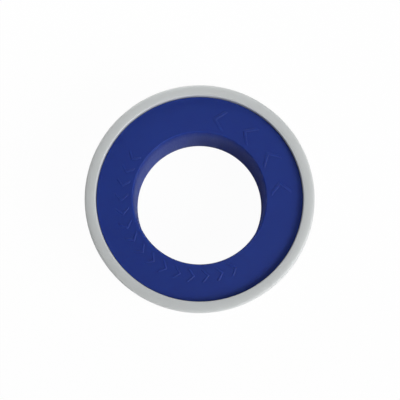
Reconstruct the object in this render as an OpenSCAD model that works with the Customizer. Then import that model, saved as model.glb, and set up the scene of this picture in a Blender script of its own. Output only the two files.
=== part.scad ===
// Roll of thread seal tape: a tape wound on a moulded spool, which turns in a cup-shaped cover.
// Millimetres. The roll lies on the cover's back, at z = 0, with the spool's flange up.

/* [Tape] */
// Width of the tape
tape_w = 12; // [6:0.5:25]
// Thickness of the tape
tape_t = 0.075; // [0.05:0.005:0.2]
// Length of tape wound tight on the hub
tape_len = 10000; // [3000:500:20000]
// How far round the winding the loose last lap goes, in degrees
lap_angle = 330; // [120:5:345]
// Slack between the tight winding and the loose lap
lap_slack = 0.12; // [0.05:0.01:0.3]
// How far round the free end curls away from the winding, in degrees
curl_angle = 40; // [15:5:60]
// How far the free end stands off the rest of the lap
curl_lift = 0.12; // [0.02:0.01:0.3]
// Where the free end lies, in degrees anticlockwise from +X
free_end_at = 300; // [0:5:355]

/* [Spool] */
// Bore through the hub
bore_d = 28.8; // [12:0.1:60]
// Wall of the hub's end, which passes through the cover
spigot_wall = 0.9; // [0.6:0.05:2]
// Width of the shoulder that seats on the cover's back disc
shoulder_w = 0.6; // [0.5:0.05:2]
// Thickness of the flange
flange_t = 1.2; // [0.8:0.1:3]
// How far the flange stands out past the tape's free end
flange_lip = 0.15; // [0.05:0.05:3]
// How far the hub's mouth flares out, where it meets the flange
mouth_flare = 0.5; // [0.2:0.05:0.9]
// Depth of that flare, along the axis
mouth_depth = 3.5; // [1:0.1:5]
// Round of the flange's two outer edges
flange_round = 0.1; // [0.05:0.05:0.35]
// Fillet under the flange, at the hub
root_fillet = 0.25; // [0.05:0.05:0.3]
// Height of the snap bead round the hub's end, along the axis
bead_w = 0.5; // [0.45:0.05:0.6]
// Bevel inside the hub's far end
bore_bevel = 0.3; // [0.1:0.05:0.5]

/* [Turn marks] */
// Height of the raised marks above the flange
mark_rise = 0.1; // [0.05:0.05:0.5]
// Distance of the marks from the bore
mark_inset = 1.3; // [1:0.1:3]
// Number of large marks
large_marks = 4; // [1:1:6]
// Size of a large mark across the flange
large_mark_h = 4.4; // [2:0.1:5]
// Size of a large mark round the flange
large_mark_l = 3; // [1.5:0.1:5]
// Stroke of a large mark
large_mark_s = 0.9; // [0.4:0.05:1.4]
// Step from one large mark to the next, in degrees
large_mark_step = 23; // [20:1:30]
// Where the first large mark is, in degrees anticlockwise from +X
large_marks_at = 7; // [0:1:20]
// Number of small marks
small_marks = 15; // [1:1:16]
// Size of a small mark across the flange
small_mark_h = 2.9; // [1:0.1:4.5]
// Size of a small mark round the flange
small_mark_l = 1.9; // [1:0.1:2.2]
// Stroke of a small mark
small_mark_s = 0.6; // [0.3:0.05:0.9]
// Step from one small mark to the next, in degrees
small_mark_step = 10.5; // [9.5:0.5:12]
// Where the first small mark is, in degrees anticlockwise from +X
small_marks_at = 148; // [140:1:160]

/* [Cover] */
// Width of the rim, from its inner to its outer edge
rim_w = 2.45; // [1.9:0.05:5]
// How far the rim stands above the flange
rim_rise = 1.3; // [0.2:0.1:3]
// Thickness of the back disc
back_t = 1.5; // [1.3:0.1:4]
// Radius of the low crown across the top of the rim
crown_r = 5; // [3.5:0.5:20]
// How far inwards from the middle of the rim its crown is highest
crown_in = 0.45; // [0:0.05:0.6]
// Round of the rim's outer edge
rim_round_out = 0.6; // [0.2:0.05:0.9]
// Round of the rim's inner edge
rim_round_in = 0.2; // [0.1:0.05:0.7]
// How much narrower the wall is at the back than at the rim, outside, on each side
outside_lean = 0.5; // [0.1:0.05:1]
// How much narrower the wall is at the back than at the rim, inside, on each side
inside_lean = 0.1; // [0.02:0.02:0.14]
// Round of the outer edge at the back
back_round = 0.8; // [0.2:0.1:1.2]
// Fillet inside, between the back disc and the wall
inside_fillet = 0.4; // [0.1:0.05:0.5]
// Depth of the recess in the back face, round the hub's end
back_recess = 0.8; // [0.7:0.05:1]
// Room in that recess, outwards from the hole
back_recess_w = 1; // [0.5:0.1:3]
// Bevel round the inner mouth of the hole
hole_bevel = 0.15; // [0.05:0.05:0.25]

/* [Clearances] */
// Radial gap between the flange and the rim
flange_gap = 0.1; // [0.05:0.01:0.5]
// Gap at each edge of the tape
tape_edge_gap = 0.3; // [0.3:0.05:1]
// Radial gap between the hub's end and the hole in the back disc
spigot_gap = 0.1; // [0.05:0.01:0.2]
// Radial gap between the snap bead and that hole, with the bead's squeeze left out
bead_gap = 0.02; // [0.01:0.01:0.04]
// How far the hub's end stays above the face that the cover rests on
end_gap = 0.15; // [0.1:0.05:0.2]

/* [Hidden] */
// Levels along the axis
tape_low = back_t + tape_edge_gap;
flange_low = tape_low + tape_w + tape_edge_gap;
flange_high = flange_low + flange_t;
cover_h = flange_high + rim_rise;
// Radii, from the bore outwards
bore_r = bore_d / 2;
spigot_r = bore_r + spigot_wall;
hole_r = spigot_r + spigot_gap;
bead_crest_r = hole_r - bead_gap;
hub_r = spigot_r + shoulder_w;
winding_r = sqrt(hub_r * hub_r + tape_len * tape_t / PI);
lap_r = winding_r + lap_slack;
flange_r = lap_r + tape_t + curl_lift + flange_lip;
rim_in_r = flange_r + flange_gap;
rim_out_r = rim_in_r + rim_w;
back_in_r = rim_in_r - inside_lean;
back_out_r = rim_out_r - outside_lean;
// Centres of the rim's crown and of the rounds at its outer and inner edge
crown_mid = [rim_out_r - rim_w / 2 - crown_in, cover_h - crown_r];
edge_out = [rim_out_r - rim_round_out, round_level(rim_round_out, rim_w / 2 + crown_in)];
edge_in = [rim_in_r + rim_round_in, round_level(rim_round_in, rim_w / 2 - crown_in)];
// Steps down the mouth's flare
mouth_steps = 16;
// Steps along the loose lap, and half of them
lap_steps = 110;
lap_half = lap_steps / 2;
// Sinks a raised mark into the flange and carries a cut past the face that it opens
overrun = 0.1;
$fn = 96;

// Level of the centre of an edge round that runs smoothly into the rim's crown, where the edge lies
// at the given reach from the crown's highest line
function round_level(radius, reach) =
    cover_h - crown_r + sqrt(pow(crown_r - radius, 2) - pow(reach - radius, 2));

// Cutter for an outer corner at the origin, whose material lies towards +X and +Y
module round_off(radius) {
    difference() {
        translate([-overrun, -overrun])
            square(radius + overrun);
        translate([radius, radius])
            circle(radius);
    }
}

// Filler for an inner corner at the origin, whose free side lies towards +X and +Y
module fill_in(radius) {
    difference() {
        square(radius);
        translate([radius, radius])
            circle(radius);
    }
}

// Half section of the rim's top: a low crown between two edge rounds
module rim_top() {
    intersection() {
        translate(crown_mid)
            circle(crown_r);
        polygon([edge_out, 2 * edge_out - crown_mid, 2 * edge_in - crown_mid, edge_in]);
    }
    translate(edge_out)
        circle(rim_round_out);
    translate(edge_in)
        circle(rim_round_in);
}

// Half section of the cover: back disc, leaning wall and rounded rim
module cover_section() {
    difference() {
        union() {
            polygon([
                [hole_r, 0],
                [back_out_r, 0],
                [back_out_r, back_round],
                [rim_out_r, edge_out.y],
                edge_out,
                edge_in,
                [rim_in_r, edge_in.y],
                [rim_in_r, flange_low],
                [back_in_r, back_t + inside_fillet],
                [back_in_r, back_t],
                [hole_r, back_t],
            ]);
            translate([back_in_r, back_t])
                rotate(90)
                fill_in(inside_fillet);
            rim_top();
        }
        translate([back_out_r, 0])
            rotate(90)
            round_off(back_round);
        translate([hole_r - overrun, -overrun])
            square([back_recess_w + overrun, back_recess + overrun]);
        polygon([
            [hole_r, back_t - hole_bevel],
            [hole_r + hole_bevel, back_t],
            [hole_r + hole_bevel, back_t + overrun],
            [hole_r - overrun, back_t + overrun],
            [hole_r - overrun, back_t - hole_bevel],
        ]);
    }
}

// A point of the mouth's flare, counted in steps from the flange: a quarter of an ellipse
function mouth_point(step) =
    let (turn = 90 * step / mouth_steps)
    [bore_r + mouth_flare * (1 - sin(turn)), flange_high - mouth_depth * (1 - cos(turn))];

// Half section of the spool: stepped hub, flange, flared mouth, and the snap bead at the hub's end
module spool_section() {
    bead_r = bead_w / 2;
    difference() {
        union() {
            polygon([
                [bore_r, end_gap],
                [spigot_r, end_gap],
                [spigot_r, back_t],
                [hub_r, back_t],
                [hub_r, flange_low],
                [flange_r, flange_low],
                [flange_r, flange_high],
                for (i = [0 : mouth_steps]) mouth_point(i),
            ]);
            translate([bead_crest_r - bead_r, end_gap + bead_r])
                circle(bead_r);
            translate([hub_r, flange_low])
                rotate(270)
                fill_in(min(root_fillet, tape_edge_gap));
        }
        translate([flange_r, flange_high])
            rotate(180)
            round_off(flange_round);
        translate([flange_r, flange_low])
            rotate(90)
            round_off(flange_round);
        polygon([
            [bore_r - overrun, end_gap - overrun],
            [bore_r + bore_bevel, end_gap - overrun],
            [bore_r + bore_bevel, end_gap],
            [bore_r, end_gap + bore_bevel],
            [bore_r - overrun, end_gap + bore_bevel],
        ]);
    }
}

// One raised chevron on the flange, which points anticlockwise at the given heading
module turn_mark(heading, height, length, stroke) {
    rotate(heading)
        translate([bore_r + mark_inset + height / 2, 0, flange_high - overrun])
        linear_extrude(overrun + mark_rise)
        polygon([
            [-height / 2, -length / 2],
            [0, length / 2 - stroke],
            [height / 2, -length / 2],
            [height / 2, stroke - length / 2],
            [0, length / 2],
            [-height / 2, stroke - length / 2],
        ]);
}

// White moulded cup that the spool turns in
module outer_cover() {
    color("#dcdedc")
        rotate_extrude()
        cover_section();
}

// Blue moulded hub and flange, with marks that show which way it turns
module spool() {
    color("#26367a")
        union() {
            rotate_extrude()
                spool_section();
            for (i = [0 : large_marks - 1])
                turn_mark(large_marks_at + i * large_mark_step, large_mark_h, large_mark_l, large_mark_s);
            for (i = [0 : small_marks - 1])
                turn_mark(small_marks_at + i * small_mark_step, small_mark_h, small_mark_l, small_mark_s);
        }
}

// Tape wound tight on the hub, all but the last lap
module tape_winding() {
    color("#f2f2ee")
        rotate_extrude()
        translate([hub_r, tape_low])
        square([winding_r - hub_r, tape_w]);
}

// A point of the loose lap, counted in steps from its inner end, on the lap's inner face or outside it
function lap_point(step, outwards = 0) =
    let (turn = lap_angle * step / lap_steps)
    let (into_curl = max(0, turn + curl_angle - lap_angle))
    let (lift = curl_lift * (1 - cos(into_curl)) / (1 - cos(curl_angle)))
    (lap_r + lift + outwards) * [cos(turn), sin(turn)];

// Last lap of the tape, loose round the winding, with its free end curling outwards
module tape_end() {
    color("#fafaf7")
        rotate(free_end_at - lap_angle)
        translate([0, 0, tape_low])
        linear_extrude(tape_w)
        polygon([
            for (i = [0 : lap_steps]) lap_point(i),
            for (i = [lap_steps : -1 : 0]) lap_point(i, tape_t),
        ]);
}

// Distances between points that lie at least half the lap apart along the tape
lap_distances = [
    for (i = [0 : lap_half])
        for (j = [i + lap_half : lap_steps])
            norm(lap_point(i) - lap_point(j)),
];
echo("least gap of the loose lap to itself, mm", min(lap_distances) - tape_t);
echo("outside diameter and height of the roll, mm", 2 * rim_out_r, cover_h);

outer_cover();
spool();
tape_winding();
tape_end();
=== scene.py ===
# %% [markdown]
# # A roll of thread seal tape
# The roll is two mouldings and one tape: a blue spool with a wide flange, a white cup that it
# turns in, and ten metres of thin white tape wound on the hub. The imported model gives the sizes
# and the bodies that move. This lesson makes the surfaces that the eye sees, one piece at a time.

# %% Load the frame
import math
import random

import bmesh
import bpy
from mathutils import Matrix, Vector


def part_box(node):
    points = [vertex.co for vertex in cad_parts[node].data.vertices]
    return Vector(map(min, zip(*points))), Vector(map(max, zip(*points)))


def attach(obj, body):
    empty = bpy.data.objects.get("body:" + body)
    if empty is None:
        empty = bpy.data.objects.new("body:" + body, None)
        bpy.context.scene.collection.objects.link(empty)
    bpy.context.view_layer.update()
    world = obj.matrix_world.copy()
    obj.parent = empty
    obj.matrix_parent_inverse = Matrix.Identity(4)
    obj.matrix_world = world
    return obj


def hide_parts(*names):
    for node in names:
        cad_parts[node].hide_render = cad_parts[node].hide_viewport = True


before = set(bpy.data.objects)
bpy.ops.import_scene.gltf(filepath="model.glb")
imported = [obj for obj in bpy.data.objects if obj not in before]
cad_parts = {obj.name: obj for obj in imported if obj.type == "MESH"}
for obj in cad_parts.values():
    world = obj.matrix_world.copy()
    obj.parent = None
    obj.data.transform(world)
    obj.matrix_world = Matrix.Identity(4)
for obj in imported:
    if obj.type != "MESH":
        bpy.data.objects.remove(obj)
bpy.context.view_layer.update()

# %% [markdown]
# ## Sizes
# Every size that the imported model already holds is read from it: the least and greatest distance
# of a solid from the roll's axis, and the levels of its box. Only small gaps, rounds and bevels
# are written in this lesson, in millimetres, because a box can't tell them.

# %% Read the sizes
MM = 0.001
TAPE_EDGE_GAP = 0.3 * MM
FLANGE_GAP = 0.1 * MM
MARK_RISE = 0.1 * MM


def reach(node):
    """Least and greatest distance of a solid from the roll's axis."""
    spans = [math.hypot(v.co.x, v.co.y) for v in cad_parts[node].data.vertices]
    return min(spans), max(spans)


hole_r = reach("outer_cover")[0]
bore_r, flange_r = reach("spool")
hub_r, winding_r = reach("tape_winding")
lap_r, free_end_r = reach("tape_end")
cover_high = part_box("outer_cover")[1]
rim_out_r = min(cover_high.x, cover_high.y)
rim_in_r = flange_r + FLANGE_GAP

cover_top = cover_high.z
hub_end, mark_top = (corner.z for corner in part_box("spool"))
tape_low, tape_high = (corner.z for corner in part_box("tape_winding"))
back_top = tape_low - TAPE_EDGE_GAP
flange_low = tape_high + TAPE_EDGE_GAP
flange_top = mark_top - MARK_RISE
print(f"rim {2 * rim_out_r / MM:.2f} mm across and {cover_top / MM:.2f} mm high")
print(f"bore {2 * bore_r / MM:.2f} mm across")

# %% [markdown]
# ## Turned shapes
# Both mouldings are round, so each is a half section turned about the axis, as on a lathe. The
# section is a list of points, with arcs where the mould has a round edge. A smooth-shaded mesh
# bends its light over a whole face, so each long straight stretch gets a point close to both of
# its ends: the flat part then stays flat and only the round edge looks round.

# %% Helpers for sections
ARC_STEPS = 10
SMALL_ARC_STEPS = 6
EDGE_LEAD = 0.05 * MM
LONG_STRETCH = 4 * EDGE_LEAD


def arc(centre, radius, start, end, steps=ARC_STEPS):
    """Points of an arc in the half section, from one angle to another in degrees."""
    angles = [math.radians(start + (end - start) * i / steps) for i in range(steps + 1)]
    return [(centre[0] + radius * math.cos(a), centre[1] + radius * math.sin(a)) for a in angles]


def with_leads(outline):
    """The closed outline with a point near both ends of each long straight stretch."""
    eased = []
    for here, after in zip(outline, outline[1:] + outline[:1]):
        a, b = Vector(here), Vector(after)
        eased.append(here)
        if (b - a).length > LONG_STRETCH:
            step = (b - a).normalized() * EDGE_LEAD
            eased += [tuple(a + step), tuple(b - step)]
    return eased


# %% [markdown]
# Blender's Screw modifier could do the turning. Here the rings are set point by point, so that the
# last one closes on the first with no seam. A Boolean then joins small forms to a piece or cuts
# them out of it, and its result is kept as plain mesh.

# %% Helpers for meshes
TURN_STEPS = 240
SHARP_ANGLE = math.radians(35)


def shade(mesh):
    """Smooth shading all over, with the true corners kept sharp."""
    mesh.shade_smooth()
    mesh.set_sharp_from_angle(angle=SHARP_ANGLE)


def piece_from(bm, name):
    """A shaded object in the scene from a bmesh."""
    bmesh.ops.recalc_face_normals(bm, faces=bm.faces)
    mesh = bpy.data.meshes.new(name)
    bm.to_mesh(mesh)
    bm.free()
    shade(mesh)
    made = bpy.data.objects.new(name, mesh)
    bpy.context.scene.collection.objects.link(made)
    return made


def bridge(bm, here, after):
    """Faces between two closed rings that have the same number of points."""
    for j in range(len(here)):
        k = (j + 1) % len(here)
        bm.faces.new((here[j], after[j], after[k], here[k]))


def turned(name, outline):
    """One closed solid of revolution from a closed half section of (radius, height) points."""
    section = with_leads(outline)
    bm = bmesh.new()
    rings = []
    for i in range(TURN_STEPS):
        angle = 2 * math.pi * i / TURN_STEPS
        c, s = math.cos(angle), math.sin(angle)
        rings.append([bm.verts.new((r * c, r * s, z)) for r, z in section])
    for here, after in zip(rings, rings[1:] + rings[:1]):
        bridge(bm, here, after)
    return piece_from(bm, name)


def combine(body, tool, operation):
    """Joins a tool to a body or cuts it out, and puts the result in the body's own mesh."""
    change = body.modifiers.new("combine", "BOOLEAN")
    change.operation = operation
    change.solver = "EXACT"
    change.object = tool
    evaluated = body.evaluated_get(bpy.context.evaluated_depsgraph_get())
    mesh = bpy.data.meshes.new_from_object(evaluated)
    body.modifiers.remove(change)
    old, body.data = body.data, mesh
    mesh.name = old.name
    bpy.data.meshes.remove(old)
    bpy.data.objects.remove(tool)
    shade(mesh)


# %% [markdown]
# ## The white cup
# The cup is moulded from polypropylene with hardly any pigment: a back disc, a wall that leans out
# towards the rim so that it leaves the mould, and a thick rim. It could be a plain cylinder with
# a bevel, but the rim is what the eye meets first, so its top is drawn as the low crown that it
# is. The crown is highest near the inner edge and slopes away outwards. It runs smoothly into a
# small round at the inner edge and a larger one at the outer edge.

# %% Turn the cup
CROWN_RADIUS = 5 * MM
CROWN_INWARDS = 0.45 * MM
CROWN_STEPS = 12
RIM_ROUND_OUT = 0.6 * MM
RIM_ROUND_IN = 0.2 * MM
OUTSIDE_LEAN = 0.5 * MM
INSIDE_LEAN = 0.1 * MM
BACK_ROUND = 0.8 * MM
INSIDE_FILLET = 0.4 * MM
BACK_RECESS = 0.8 * MM
BACK_RECESS_WIDTH = 1.0 * MM
RECESS_EDGE = 0.12 * MM
RECESS_EDGE_STEPS = 4
HOLE_BEVEL = 0.15 * MM

crown_centre = Vector(((rim_in_r + rim_out_r) / 2 - CROWN_INWARDS, cover_top - CROWN_RADIUS))


def rim_edge(away, radius):
    """Centre of an edge round, so far from the axis, and the angle at which it meets the crown."""
    across = away - crown_centre.x
    meets = Vector((across, math.sqrt((CROWN_RADIUS - radius) ** 2 - across**2)))
    return crown_centre + meets, math.degrees(math.atan2(meets.y, meets.x))


edge_out, out_angle = rim_edge(rim_out_r - RIM_ROUND_OUT, RIM_ROUND_OUT)
edge_in, in_angle = rim_edge(rim_in_r + RIM_ROUND_IN, RIM_ROUND_IN)
back_out_r = rim_out_r - OUTSIDE_LEAN
back_in_r = rim_in_r - INSIDE_LEAN
recess_r = hole_r + BACK_RECESS_WIDTH
fillet_centre = (back_in_r - INSIDE_FILLET, back_top + INSIDE_FILLET)
cup_section = (
    [(hole_r, BACK_RECESS), (recess_r, BACK_RECESS)]
    + arc((recess_r + RECESS_EDGE, RECESS_EDGE), RECESS_EDGE, 180, 270, RECESS_EDGE_STEPS)
    + arc((back_out_r - BACK_ROUND, BACK_ROUND), BACK_ROUND, -90, 0)
    + arc(edge_out, RIM_ROUND_OUT, 0, out_angle)
    + arc(crown_centre, CROWN_RADIUS, out_angle, in_angle, CROWN_STEPS)[1:-1]
    + arc(edge_in, RIM_ROUND_IN, in_angle, 180)
    + [(rim_in_r, flange_low)]
    + arc(fillet_centre, INSIDE_FILLET, 0, -90, SMALL_ARC_STEPS)
    + [(hole_r + HOLE_BEVEL, back_top), (hole_r, back_top - HOLE_BEVEL)]
)
cup = turned("white_cup", cup_section)
print("cup:", len(cup.data.vertices), "points")

# %% [markdown]
# ## Marks of the mould
# Two pin gates fed the cup from its back. Each broke off in a shallow dish, so that its torn stub
# stays clear of what the roll lies on. Inside, six ejector pins pushed the cup off its core and
# left round prints. Bump could fake both, but they are steps in the real surface, so they are cut.

# %% Cut the gate dishes and the pin prints
GATES = 2
GATE_AT = math.radians(35)
DISH_RADIUS = 1.5 * MM
DISH_FLOOR_RADIUS = 1.1 * MM
DISH_DEPTH = 0.3 * MM
STUB_RADIUS = 0.4 * MM
STUB_TIP_RADIUS = 0.28 * MM
STUB_HEIGHT = 0.2 * MM
EJECTORS = 6
PRINT_RADIUS = 1.25 * MM
PRINT_DEPTH = 0.06 * MM
CUT_OVERRUN = 0.1 * MM
PIN_SIDES = 48


def add_pin(bm, heading, away, low, high, r_low, r_high):
    """Adds an upright round pin, straight or tapered, at a heading and a distance from the axis."""
    place = Matrix.Rotation(heading, 4, "Z") @ Matrix.Translation((away, 0, (low + high) / 2))
    bmesh.ops.create_cone(
        bm,
        cap_ends=True,
        segments=PIN_SIDES,
        radius1=r_low,
        radius2=r_high,
        depth=high - low,
        matrix=place,
    )


cutters, stubs = bmesh.new(), bmesh.new()
gates_away = (recess_r + back_out_r) / 2
for i in range(GATES):
    heading = GATE_AT + 2 * math.pi * i / GATES
    add_pin(cutters, heading, gates_away, -CUT_OVERRUN, DISH_DEPTH, DISH_RADIUS, DISH_FLOOR_RADIUS)
    low, high = DISH_DEPTH - STUB_HEIGHT, DISH_DEPTH + CUT_OVERRUN
    add_pin(stubs, heading, gates_away, low, high, STUB_TIP_RADIUS, STUB_RADIUS)
prints_away = (hub_r + back_in_r) / 2
for i in range(EJECTORS):
    heading = 2 * math.pi * i / EJECTORS
    low, high = back_top - PRINT_DEPTH, back_top + CUT_OVERRUN
    add_pin(cutters, heading, prints_away, low, high, PRINT_RADIUS, PRINT_RADIUS)
combine(cup, piece_from(cutters, "cutters"), "DIFFERENCE")
combine(cup, piece_from(stubs, "stubs"), "UNION")
print("cup with the mould's marks:", len(cup.data.vertices), "points")

# %% [markdown]
# ## The blue spool
# The spool is one moulding as well: a stepped hub that runs down through the cup's back, a wide
# flat flange and a mouth that flares out softly. A small round would do for the mouth, but it
# draws a hard line where the bore begins. A quarter of a tall ellipse eases the wall into the
# flange, as a lead-in does. A low bead near the hub's end clicks behind the cup.

# %% Turn the spool
MOUTH_FLARE = 0.5 * MM
MOUTH_DEPTH = 3.5 * MM
MOUTH_STEPS = 24
FLANGE_ROUND = 0.1 * MM
ROOT_FILLET = 0.25 * MM
ROOT_STEPS = 5
SPIGOT_GAP = 0.1 * MM
BEAD_GAP = 0.02 * MM
BEAD_RADIUS = 0.25 * MM
BORE_BEVEL = 0.3 * MM

spigot_r = hole_r - SPIGOT_GAP
bead_centre = (hole_r - BEAD_GAP - BEAD_RADIUS, hub_end + BEAD_RADIUS)
bead_half = math.degrees(math.acos((spigot_r - bead_centre[0]) / BEAD_RADIUS))
flange_edge_r = flange_r - FLANGE_ROUND
down_the_mouth = [math.pi / 2 * i / MOUTH_STEPS for i in range(MOUTH_STEPS + 1)]
mouth = [
    (bore_r + MOUTH_FLARE * (1 - math.sin(a)), flange_top - MOUTH_DEPTH * (1 - math.cos(a)))
    for a in down_the_mouth
]
spool_section = (
    [(bore_r, hub_end + BORE_BEVEL), (bore_r + BORE_BEVEL, hub_end), (spigot_r, hub_end)]
    + arc(bead_centre, BEAD_RADIUS, -bead_half, bead_half, SMALL_ARC_STEPS)
    + [(spigot_r, back_top), (hub_r, back_top)]
    + arc((hub_r + ROOT_FILLET, flange_low - ROOT_FILLET), ROOT_FILLET, 180, 90, ROOT_STEPS)
    + arc((flange_edge_r, flange_low + FLANGE_ROUND), FLANGE_ROUND, -90, 0, SMALL_ARC_STEPS)
    + arc((flange_edge_r, flange_top - FLANGE_ROUND), FLANGE_ROUND, 0, 90, SMALL_ARC_STEPS)
    + mouth
)
spool = turned("blue_spool", spool_section)
print("spool before its marks:", len(spool.data.vertices), "points")

# %% [markdown]
# ## Raised marks on the flange
# Low raised chevrons on the flange point the way that the spool turns: four large ones and a run
# of small ones. They could be painted on as bump, but bump has no edge in the mesh, so each is a
# small solid with softened edges, joined to the flange. A run is given by
# the heading of its first mark and the step to the next, in degrees.

# %% Raise the marks
MARK_INSET = 1.3 * MM
MARK_SUNK = 0.3 * MM
MARK_EDGE = 0.1 * MM
MARK_EDGE_STEPS = 3
ROUND_PROFILE = 0.5
LARGE_MARKS = {"count": 4, "first": 7, "step": 23}
LARGE_SHAPE = {"height": 4.4 * MM, "length": 3.0 * MM, "stroke": 0.9 * MM}
SMALL_MARKS = {"count": 15, "first": 148, "step": 10.5}
SMALL_SHAPE = {"height": 2.9 * MM, "length": 1.9 * MM, "stroke": 0.6 * MM}


def add_marks(bm, count, first, step, height, length, stroke):
    """Adds a run of chevrons to a bmesh, each with its upper edges rounded."""
    h, tip = height / 2, length / 2
    notch = tip - stroke
    chevron = [(-h, -tip), (0, notch), (h, -tip), (h, -notch), (0, tip), (-h, -notch)]
    for i in range(count):
        turn = Matrix.Rotation(math.radians(first + i * step), 4, "Z")
        place = turn @ Matrix.Translation((bore_r + MARK_INSET + h, 0, 0))
        foot, head = (
            [bm.verts.new(place @ Vector((x, y, level))) for x, y in chevron]
            for level in (flange_top - MARK_SUNK, mark_top)
        )
        bm.faces.new(foot)
        bm.faces.new(head)
        bridge(bm, foot, head)
        bmesh.ops.recalc_face_normals(bm, faces=bm.faces)
        bmesh.ops.bevel(
            bm,
            geom=list(dict.fromkeys(edge for corner in head for edge in corner.link_edges)),
            offset=MARK_EDGE,
            segments=MARK_EDGE_STEPS,
            profile=ROUND_PROFILE,
            affect="EDGES",
        )


marks_mesh = bmesh.new()
add_marks(marks_mesh, **LARGE_MARKS, **LARGE_SHAPE)
add_marks(marks_mesh, **SMALL_MARKS, **SMALL_SHAPE)
combine(spool, piece_from(marks_mesh, "marks"), "UNION")
print("spool with its marks:", len(spool.data.vertices), "points")

# %% [markdown]
# ## The wound tape
# The tape lies in about eighty turns, each as thin as a hair, and the edges of the turns show as
# fine rings. A plain ring with a striped material would do from far away. One ribbon wound in a
# real spiral holds up close by. A little wander of each turn's edges gives the fine ridges that a
# wound roll has, and a sliver of air between turns draws the rings.

# %% Wind the tape
TAPE_THICKNESS = 0.075 * MM
TURN_AIR = 0.008 * MM
EDGE_WANDER = 0.05 * MM
WANDER_SEED = 12
RIBBON_STEPS = 120
FREE_END_AT = math.radians(300)
LAP_ANGLE = math.radians(330)


def ribbon(name, track):
    """A closed strip of tape from stations of angle, inner and outer radius, low and high edge."""
    bm = bmesh.new()
    stations = []
    for angle, r_in, r_out, low, high in track:
        c, s = math.cos(angle), math.sin(angle)
        corners = [(r_in, low), (r_in, high), (r_out, high), (r_out, low)]
        stations.append([bm.verts.new((r * c, r * s, z)) for r, z in corners])
    for here, after in zip(stations, stations[1:]):
        bridge(bm, here, after)
    bm.faces.new(stations[0])
    bm.faces.new(stations[-1])
    return piece_from(bm, name)


lap_start = FREE_END_AT - LAP_ANGLE
turns = int((winding_r - hub_r) / TAPE_THICKNESS)
pitch = (winding_r - hub_r) / (turns + 1)
draw = random.Random(WANDER_SEED)
wander = [[draw.uniform(0, EDGE_WANDER) for edge in ("low", "high")] for _ in range(turns + 2)]
winding_track = []
for i in range(turns * RIBBON_STEPS + 1):
    turn, part = divmod(i, RIBBON_STEPS)
    share = 0.5 - 0.5 * math.cos(math.pi * part / RIBBON_STEPS)
    sink_low, sink_high = (
        now * (1 - share) + later * share for now, later in zip(wander[turn], wander[turn + 1])
    )
    angle = lap_start + 2 * math.pi * i / RIBBON_STEPS
    inner = hub_r + pitch * i / RIBBON_STEPS
    outer = inner + pitch - TURN_AIR
    winding_track.append((angle, inner, outer, tape_low + sink_low, tape_high - sink_high))
winding = ribbon("wound_tape", winding_track)
print(f"wound tape: {turns} turns at {pitch / MM:.4f} mm")

# %% [markdown]
# ## The loose last lap
# The last lap is the same tape, but slack: it leaves the winding, runs once round it and its free
# end curls off. The end was cut by hand, so it is a little slanted. The lap rides by itself, since
# a finger stops it while the spool goes on turning. A cloth simulation could slacken it, but a
# formula gives the same faint ripple in every run.

# %% Lay the loose lap
LAP_STEPS = 330
CURL_ANGLE = math.radians(40)
RIPPLE_DEPTH = 0.03 * MM
RIPPLES = 9
SWELLS = 4
SWELL_OFFSET = 1
END_SLANT = math.radians(3)
END_TIP = 0.05 * MM
curl_lift = free_end_r - lap_r - TAPE_THICKNESS
lap_track = []
for i in range(LAP_STEPS + 1):
    gone = LAP_ANGLE * i / LAP_STEPS
    into_curl = max(0, gone + CURL_ANGLE - LAP_ANGLE)
    lift = curl_lift * (1 - math.cos(into_curl)) / (1 - math.cos(CURL_ANGLE))
    swell = math.sin(SWELLS * gone + SWELL_OFFSET)
    ripple = RIPPLE_DEPTH * (0.5 + 0.5 * math.sin(RIPPLES * gone) * swell)
    inner = lap_r + lift + (0 if into_curl else ripple)
    cut = max(0, 1 + (gone - LAP_ANGLE) / END_SLANT) * (tape_high - tape_low - END_TIP)
    lap_track.append((lap_start + gone, inner, inner + TAPE_THICKNESS, tape_low + cut, tape_high))
lap = ribbon("loose_lap", lap_track)
print(f"loose lap: {LAP_ANGLE * lap_r / MM:.0f} mm of tape")

# %% [markdown]
# ## Colours and nodes
# Colours are written as sRGB hex, as a paint card or an image editor gives them, and one function
# turns them to the linear values that a shader needs. One more adds a node with its settings,
# constants and links, so each material reads as a list of what it is made of. A Mix node has
# sockets of the same name for each kind of data, so those for colours go by number.

# %% Helpers for materials
MIX_SHARE, MIX_FIRST, MIX_SECOND, MIX_RESULT = 0, 6, 7, 2


def srgb(code):
    """Linear RGBA of an sRGB hex colour."""
    parts = [int(code[i : i + 2], 16) / 255 for i in (1, 3, 5)]
    return [p / 12.92 if p <= 0.04045 else ((p + 0.055) / 1.055) ** 2.4 for p in parts] + [1]


def add_node(tree, kind, settings=None, values=None, links=None):
    """One shader node: its properties, the constants on its sockets, and what links to them."""
    made = tree.nodes.new(kind)
    for key, value in (settings or {}).items():
        setattr(made, key, value)
    for socket, value in (values or {}).items():
        made.inputs[socket].default_value = value
    for socket, source in (links or {}).items():
        tree.links.new(source, made.inputs[socket])
    return made


def new_material(name):
    """A material with an empty node tree."""
    made = bpy.data.materials.new(name)
    made.use_nodes = True
    made.node_tree.nodes.clear()
    return made


def per_size(size):
    """The scale of a pattern whose features are that big, in metres."""
    return 1 / size


# %% [markdown]
# ## Surface of a moulding
# Both mouldings come from finely spark-eroded moulds, which leave a grain of about 0.05 mm. It is
# drawn at 0.16 mm, which is as coarse as it needs to be to show. Stretching it along the axis
# gives the drag lines that a core leaves in a bore. Slow mottling stands for the flow of the melt.
# An image could hold both, but noise from the piece's own coordinates has no seams.

# %% Grain and flow
GRAIN_SIZE = 0.16 * MM
DRAG_SHARE = 0.06
FLOW_SIZE = 7 * MM


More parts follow.
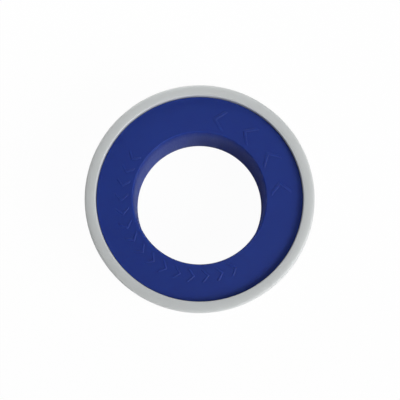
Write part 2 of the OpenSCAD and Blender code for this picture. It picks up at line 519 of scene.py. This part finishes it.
def mould_grain(tree, place):
    """Height of the fine grain that the mould leaves, dragged along the axis."""
    dragged = add_node(
        tree, "ShaderNodeMapping", values={"Scale": (1, 1, DRAG_SHARE)}, links={"Vector": place}
    ).outputs["Vector"]
    return add_node(
        tree,
        "ShaderNodeTexNoise",
        values={"Scale": per_size(GRAIN_SIZE), "Detail": 2, "Roughness": 0.6},
        links={"Vector": dragged},
    ).outputs["Fac"]


def flow_colour(tree, place, deep, pale):
    """Colour that drifts between two shades, as the melt flowed."""
    flow = add_node(
        tree,
        "ShaderNodeTexNoise",
        values={"Scale": per_size(FLOW_SIZE), "Detail": 3, "Roughness": 0.5},
        links={"Vector": place},
    ).outputs["Fac"]
    return add_node(
        tree,
        "ShaderNodeMix",
        {"data_type": "RGBA"},
        {MIX_FIRST: srgb(deep), MIX_SECOND: srgb(pale)},
        {MIX_SHARE: flow},
    ).outputs[MIX_RESULT]


# %% [markdown]
# Handling leaves hairline scuffs of about 0.02 mm, drawn here at 0.15 mm, which dull the sheen
# without changing the colour. They could be drawn one by one, but noise that is stretched along a
# slant and cut off high leaves just such short thin strokes.

# %% Scuffs in the gloss
SCUFF_WIDTH = 0.15 * MM
SCUFF_LENGTH = 5 * MM
SCUFF_SLANT = math.radians(25)
SCUFF_FROM, SCUFF_FULL = 0.66, 0.72
SCUFF_DULLING = 0.12
GRAIN_LOW, GRAIN_HIGH = 0.3, 0.7
GRAIN_DULLING = 0.05


def worn_gloss(tree, place, grain, roughness):
    """Roughness that rises along the scuffs and wavers with the grain."""
    slanted = add_node(
        tree,
        "ShaderNodeMapping",
        values={
            "Rotation": (SCUFF_SLANT, SCUFF_SLANT, SCUFF_SLANT),
            "Scale": (per_size(SCUFF_LENGTH), per_size(SCUFF_WIDTH), per_size(SCUFF_WIDTH)),
        },
        links={"Vector": place},
    ).outputs["Vector"]
    scuffs = add_node(
        tree,
        "ShaderNodeTexNoise",
        values={"Scale": 1, "Detail": 1, "Distortion": 0.5},
        links={"Vector": slanted},
    ).outputs["Fac"]
    dulled = add_node(
        tree,
        "ShaderNodeMapRange",
        values={
            "From Min": SCUFF_FROM,
            "From Max": SCUFF_FULL,
            "To Min": roughness,
            "To Max": roughness + SCUFF_DULLING,
        },
        links={"Value": scuffs},
    ).outputs["Result"]
    waver = add_node(
        tree,
        "ShaderNodeMapRange",
        values={
            "From Min": GRAIN_LOW,
            "From Max": GRAIN_HIGH,
            "To Min": -GRAIN_DULLING,
            "To Max": GRAIN_DULLING,
        },
        links={"Value": grain},
    ).outputs["Result"]
    return add_node(
        tree, "ShaderNodeMath", {"operation": "ADD"}, links={0: dulled, 1: waver}
    ).outputs[0]


# %% [markdown]
# ## Blue moulded polypropylene
# The spool is pigmented polypropylene: a deep blue with a soft, wide sheen. An opaque surface would
# be the simple way. The pigment isn't dense, though, and light goes up to a millimetre in, which
# softens the mouth and makes the hub's thin wall glow a little.

# %% Make the blue polypropylene
POLYPROPYLENE_IOR = 1.49


def moulded_polypropylene(name, deep, pale, roughness, grain_depth, light_in, light_depth):
    """Polypropylene of two close shades, which lets a share of the light in, so deep."""
    material = new_material(name)
    tree = material.node_tree
    place = add_node(tree, "ShaderNodeTexCoord").outputs["Object"]
    grain = mould_grain(tree, place)
    relief = add_node(
        tree,
        "ShaderNodeBump",
        values={"Strength": 1, "Distance": grain_depth},
        links={"Height": grain},
    ).outputs["Normal"]
    surface = add_node(
        tree,
        "ShaderNodeBsdfPrincipled",
        values={
            "IOR": POLYPROPYLENE_IOR,
            "Subsurface Weight": light_in,
            "Subsurface Radius": (1, 1, 1),
            "Subsurface Scale": light_depth,
        },
        links={
            "Base Color": flow_colour(tree, place, deep, pale),
            "Roughness": worn_gloss(tree, place, grain, roughness),
            "Normal": relief,
        },
    )
    add_node(tree, "ShaderNodeOutputMaterial", links={"Surface": surface.outputs["BSDF"]})
    print(f"{name}: {len(tree.nodes)} nodes")
    return material


blue_polypropylene = moulded_polypropylene(
    "blue moulded polypropylene",
    deep="#0f318d",
    pale="#133693",
    roughness=0.5,
    grain_depth=0.006 * MM,
    light_in=1.0,
    light_depth=1.0 * MM,
)

# %% [markdown]
# ## White moulded polypropylene
# The cup has no pigment beyond a little white, so light goes a millimetre or more into it before it
# comes back. That softens the shade on the rim and lets the blue next to it tint its inner edge.
# The same function makes it, with a shallower grain and more gloss.

# %% Make the white polypropylene
white_polypropylene = moulded_polypropylene(
    "white moulded polypropylene",
    deep="#ced1d1",
    pale="#d6d9d9",
    roughness=0.36,
    grain_depth=0.003 * MM,
    light_in=0.6,
    light_depth=1.5 * MM,
)

# %% [markdown]
# ## Calendered tape
# The tape is unsintered fluoropolymer paste, pressed between rolls: chalk white, silky and matt,
# with fine streaks along its length. A streak could follow the ribbon's own length, but on a roll
# that runs round the axis, so noise that is squeezed along the axis and stretched across it does
# the same with less.

# %% Make the tape's material
STREAK_SIZE = 0.2 * MM
STREAK_LENGTH = 14 * MM
STREAK_DEPTH = 0.012 * MM
TAPE_LIGHT_DEPTH = 0.4 * MM
ptfe_tape = new_material("calendered tape")
tree = ptfe_tape.node_tree
place = add_node(tree, "ShaderNodeTexCoord").outputs["Object"]
along = add_node(
    tree,
    "ShaderNodeMapping",
    values={"Scale": (per_size(STREAK_LENGTH), per_size(STREAK_LENGTH), per_size(STREAK_SIZE))},
    links={"Vector": place},
).outputs["Vector"]
streaks = add_node(
    tree,
    "ShaderNodeTexNoise",
    values={"Scale": 1, "Detail": 4, "Roughness": 0.65},
    links={"Vector": along},
).outputs["Fac"]
tint = add_node(
    tree,
    "ShaderNodeMix",
    {"data_type": "RGBA"},
    {MIX_FIRST: srgb("#e2e3df"), MIX_SECOND: srgb("#f4f4f0")},
    {MIX_SHARE: streaks},
).outputs[MIX_RESULT]
relief = add_node(
    tree,
    "ShaderNodeBump",
    values={"Strength": 0.8, "Distance": STREAK_DEPTH},
    links={"Height": streaks},
).outputs["Normal"]
surface = add_node(
    tree,
    "ShaderNodeBsdfPrincipled",
    values={
        "IOR": 1.35,
        "Roughness": 0.55,
        "Subsurface Weight": 0.2,
        "Subsurface Radius": (1, 1, 1),
        "Subsurface Scale": TAPE_LIGHT_DEPTH,
        "Sheen Weight": 0.15,
    },
    links={"Base Color": tint, "Normal": relief},
)
add_node(tree, "ShaderNodeOutputMaterial", links={"Surface": surface.outputs["BSDF"]})
print(f"{ptfe_tape.name}: {len(tree.nodes)} nodes")

# %% [markdown]
# ## Dress the pieces
# Each piece takes its material, stands for its solid and rides on the body that moves it. The
# winding turns with the spool, and the loose lap only comes out with it.

# %% Tie the pieces to the frame
for piece, node, body, slot, material in [
    (cup, "outer_cover", "outer_cover", "white_polypropylene", white_polypropylene),
    (spool, "spool", "spool", "blue_polypropylene", blue_polypropylene),
    (winding, "tape_winding", "spool", "ptfe_tape", ptfe_tape),
    (lap, "tape_end", "tape_end", "ptfe_tape", ptfe_tape),
]:
    piece.data.materials.clear()
    piece.data.materials.append(material)
    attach(piece, body)
    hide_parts(node)

# %% [markdown]
# ## The floor
# The roll lies on a sheet of matt white paper. More light would make it white as well, but it would
# bleach the roll too, so its white comes from the paper: to the camera most of it shines by
# itself, so the shadow is only faint, and in mirrors it does the same away from the roll. Under
# the roll a mirror image keeps the paper's real shade, because the hub's wall mirrors the shaded
# paper down its own bore.

# %% Make the paper
WHITE_SHARE = 0.97
paper = new_material("matt white paper")
tree = paper.node_tree
place = add_node(tree, "ShaderNodeTexCoord").outputs["Object"]
away = add_node(
    tree, "ShaderNodeVectorMath", {"operation": "LENGTH"}, links={0: place}
).outputs["Value"]
clear_of_roll = add_node(
    tree,
    "ShaderNodeMapRange",
    values={"From Min": rim_out_r, "From Max": 2 * rim_out_r, "To Min": 0, "To Max": 1},
    links={"Value": away},
).outputs["Result"]
ray = add_node(tree, "ShaderNodeLightPath").outputs
mirrored = add_node(
    tree,
    "ShaderNodeMath",
    {"operation": "MAXIMUM"},
    links={0: ray["Is Glossy Ray"], 1: ray["Is Transmission Ray"]},
).outputs[0]
mirrored_clear = add_node(
    tree, "ShaderNodeMath", {"operation": "MULTIPLY"}, links={0: mirrored, 1: clear_of_roll}
).outputs[0]
seen = add_node(
    tree,
    "ShaderNodeMath",
    {"operation": "MAXIMUM"},
    links={0: ray["Is Camera Ray"], 1: mirrored_clear},
).outputs[0]
glow = add_node(
    tree, "ShaderNodeMath", {"operation": "MULTIPLY"}, {1: WHITE_SHARE}, {0: seen}
).outputs[0]
matt = add_node(tree, "ShaderNodeBsdfDiffuse", values={"Color": srgb("#f7f7f7")}).outputs[0]
shine = add_node(tree, "ShaderNodeEmission", values={"Strength": 1}).outputs[0]
mixed = add_node(tree, "ShaderNodeMixShader", links={0: glow, 1: matt, 2: shine}).outputs[0]
add_node(tree, "ShaderNodeOutputMaterial", links={"Surface": mixed})
print(f"{paper.name}: {len(tree.nodes)} nodes")

# %% [markdown]
# The sheet is a disc so wide that no view meets its edge close by. It could touch the roll, but two
# faces at one level flicker, so it lies a hair lower.

# %% Lay the floor
FLOOR_RADIUS = 6.0
FLOOR_SIDES = 96
FLOOR_DROP = 0.02 * MM
paper_mesh = bmesh.new()
bmesh.ops.create_circle(paper_mesh, cap_ends=True, segments=FLOOR_SIDES, radius=FLOOR_RADIUS)
bmesh.ops.translate(paper_mesh, verts=paper_mesh.verts, vec=(0, 0, -FLOOR_DROP))
floor = piece_from(paper_mesh, "paper_floor")
floor.data.materials.append(paper)
print(f"floor {2 * FLOOR_RADIUS:.0f} m across, {FLOOR_DROP / MM:.2f} mm under the roll")

# %% [markdown]
# ## The light
# The light is a small studio. A bare bulb would draw hard edges, so both lamps are soft discs. A
# wide one at the right throws the rim's shadow on the flange and lights the paper down the bore,
# which the hub's left wall then mirrors. A weak low one at the far side lights the rim there and
# hardly the flange.

# %% Hang the lamps
def add_lamp(name, heading, height, distance, size, power):
    """A round soft lamp aimed at the flange: angles in degrees, lengths in metres, watts."""
    middle = Vector((0, 0, flange_top))
    across = Matrix.Rotation(math.radians(heading), 3, "Z")
    upwards = Matrix.Rotation(-math.radians(height), 3, "Y")
    data = bpy.data.lights.new(name, "AREA")
    data.shape = "DISK"
    data.size = size
    data.energy = power
    lamp = bpy.data.objects.new(name, data)
    lamp.location = middle + across @ upwards @ Vector((distance, 0, 0))
    lamp.rotation_euler = (middle - lamp.location).to_track_quat("-Z", "Y").to_euler()
    bpy.context.scene.collection.objects.link(lamp)
    print(f"{name} lamp: {power} W, {lamp.location.z / MM:.0f} mm up")


add_lamp("key", heading=-28, height=38, distance=0.9, size=0.65, power=6.7)
add_lamp("fill", heading=104, height=18, distance=0.15, size=0.12, power=0.1)

# %% [markdown]
# The room around is brighter on the near side, as with a window behind the camera. One even grey
# would be simpler, but then the rim looks the same all round. The camera sees the room white, so
# that a low view has no dark band where the paper ends.

# %% Light the room
ROOM_HEADING = math.radians(-110)
ROOM_NEAR = 0.544
ROOM_FAR = 0.104
world = bpy.data.worlds.new("pale room")
world.use_nodes = True
world.node_tree.nodes.clear()
bpy.context.scene.world = world
tree = world.node_tree
direction = add_node(tree, "ShaderNodeTexCoord").outputs["Generated"]
bright_side = Matrix.Rotation(ROOM_HEADING, 3, "Z") @ Vector((1, 0, 0))
nearness = add_node(
    tree, "ShaderNodeVectorMath", {"operation": "DOT_PRODUCT"}, {1: bright_side}, {0: direction}
).outputs["Value"]
room = add_node(
    tree,
    "ShaderNodeMapRange",
    values={"From Min": 0, "From Max": 1, "To Min": ROOM_FAR, "To Max": ROOM_NEAR},
    links={"Value": nearness},
).outputs["Result"]
to_camera = add_node(tree, "ShaderNodeLightPath").outputs["Is Camera Ray"]
strength = add_node(
    tree, "ShaderNodeMath", {"operation": "MAXIMUM"}, links={0: room, 1: to_camera}
).outputs[0]
background = add_node(
    tree, "ShaderNodeBackground", values={"Color": srgb("#ffffff")}, links={"Strength": strength}
).outputs[0]
add_node(tree, "ShaderNodeOutputWorld", links={"Surface": background})
print(f"room: {ROOM_NEAR} on the near side, {ROOM_FAR} on the far side")

# %% [markdown]
# ## The camera
# The camera looks almost straight down, from the side of the roll that is at the bottom of the
# photograph. Its distance follows from how much smaller the hub's far edge looks, and its lens
# from the size of the rim's opening in the picture. It could be aimed by eye, but the flange's
# centre in the picture gives the aim to a fraction of a pixel.

# %% Place the camera
PHOTO_SIDE = 400
OPENING_RADIUS_PX = 103.6
FLANGE_CENTRE_PX = (199.7, 197.9)
CAMERA_HEIGHT = math.radians(82)
CAMERA_SIDE = math.radians(-2)
CAMERA_DISTANCE = 0.235
SENSOR = 36
NEAR_CLIP = 10 * MM
FAR_CLIP = 100

px_per_m = OPENING_RADIUS_PX / rim_in_r
camera_data = bpy.data.cameras.new("camera")
camera_data.sensor_width = SENSOR
camera_data.lens = SENSOR * CAMERA_DISTANCE * px_per_m / PHOTO_SIDE
camera_data.clip_start = NEAR_CLIP
camera_data.clip_end = FAR_CLIP
camera = bpy.data.objects.new("camera", camera_data)
back = Vector(
    (
        math.cos(CAMERA_HEIGHT) * math.sin(CAMERA_SIDE),
        -math.cos(CAMERA_HEIGHT) * math.cos(CAMERA_SIDE),
        math.sin(CAMERA_HEIGHT),
    )
)
upwards = (Vector((0, 1, 0)) - back * back.y).normalized()
sideways = upwards.cross(back)
half = PHOTO_SIDE / 2
aim = (
    Vector((0, 0, flange_top))
    + sideways * (half - FLANGE_CENTRE_PX[0]) / px_per_m
    - upwards * (half - FLANGE_CENTRE_PX[1]) / px_per_m
)
facing = Matrix((sideways, upwards, back)).transposed()
camera.matrix_world = Matrix.Translation(aim + back * CAMERA_DISTANCE) @ facing.to_4x4()
bpy.context.scene.collection.objects.link(camera)
bpy.context.scene.camera = camera
bpy.context.scene.view_settings.view_transform = "Standard"
print(f"lens {camera_data.lens:.1f} mm at {CAMERA_DISTANCE / MM:.0f} mm")
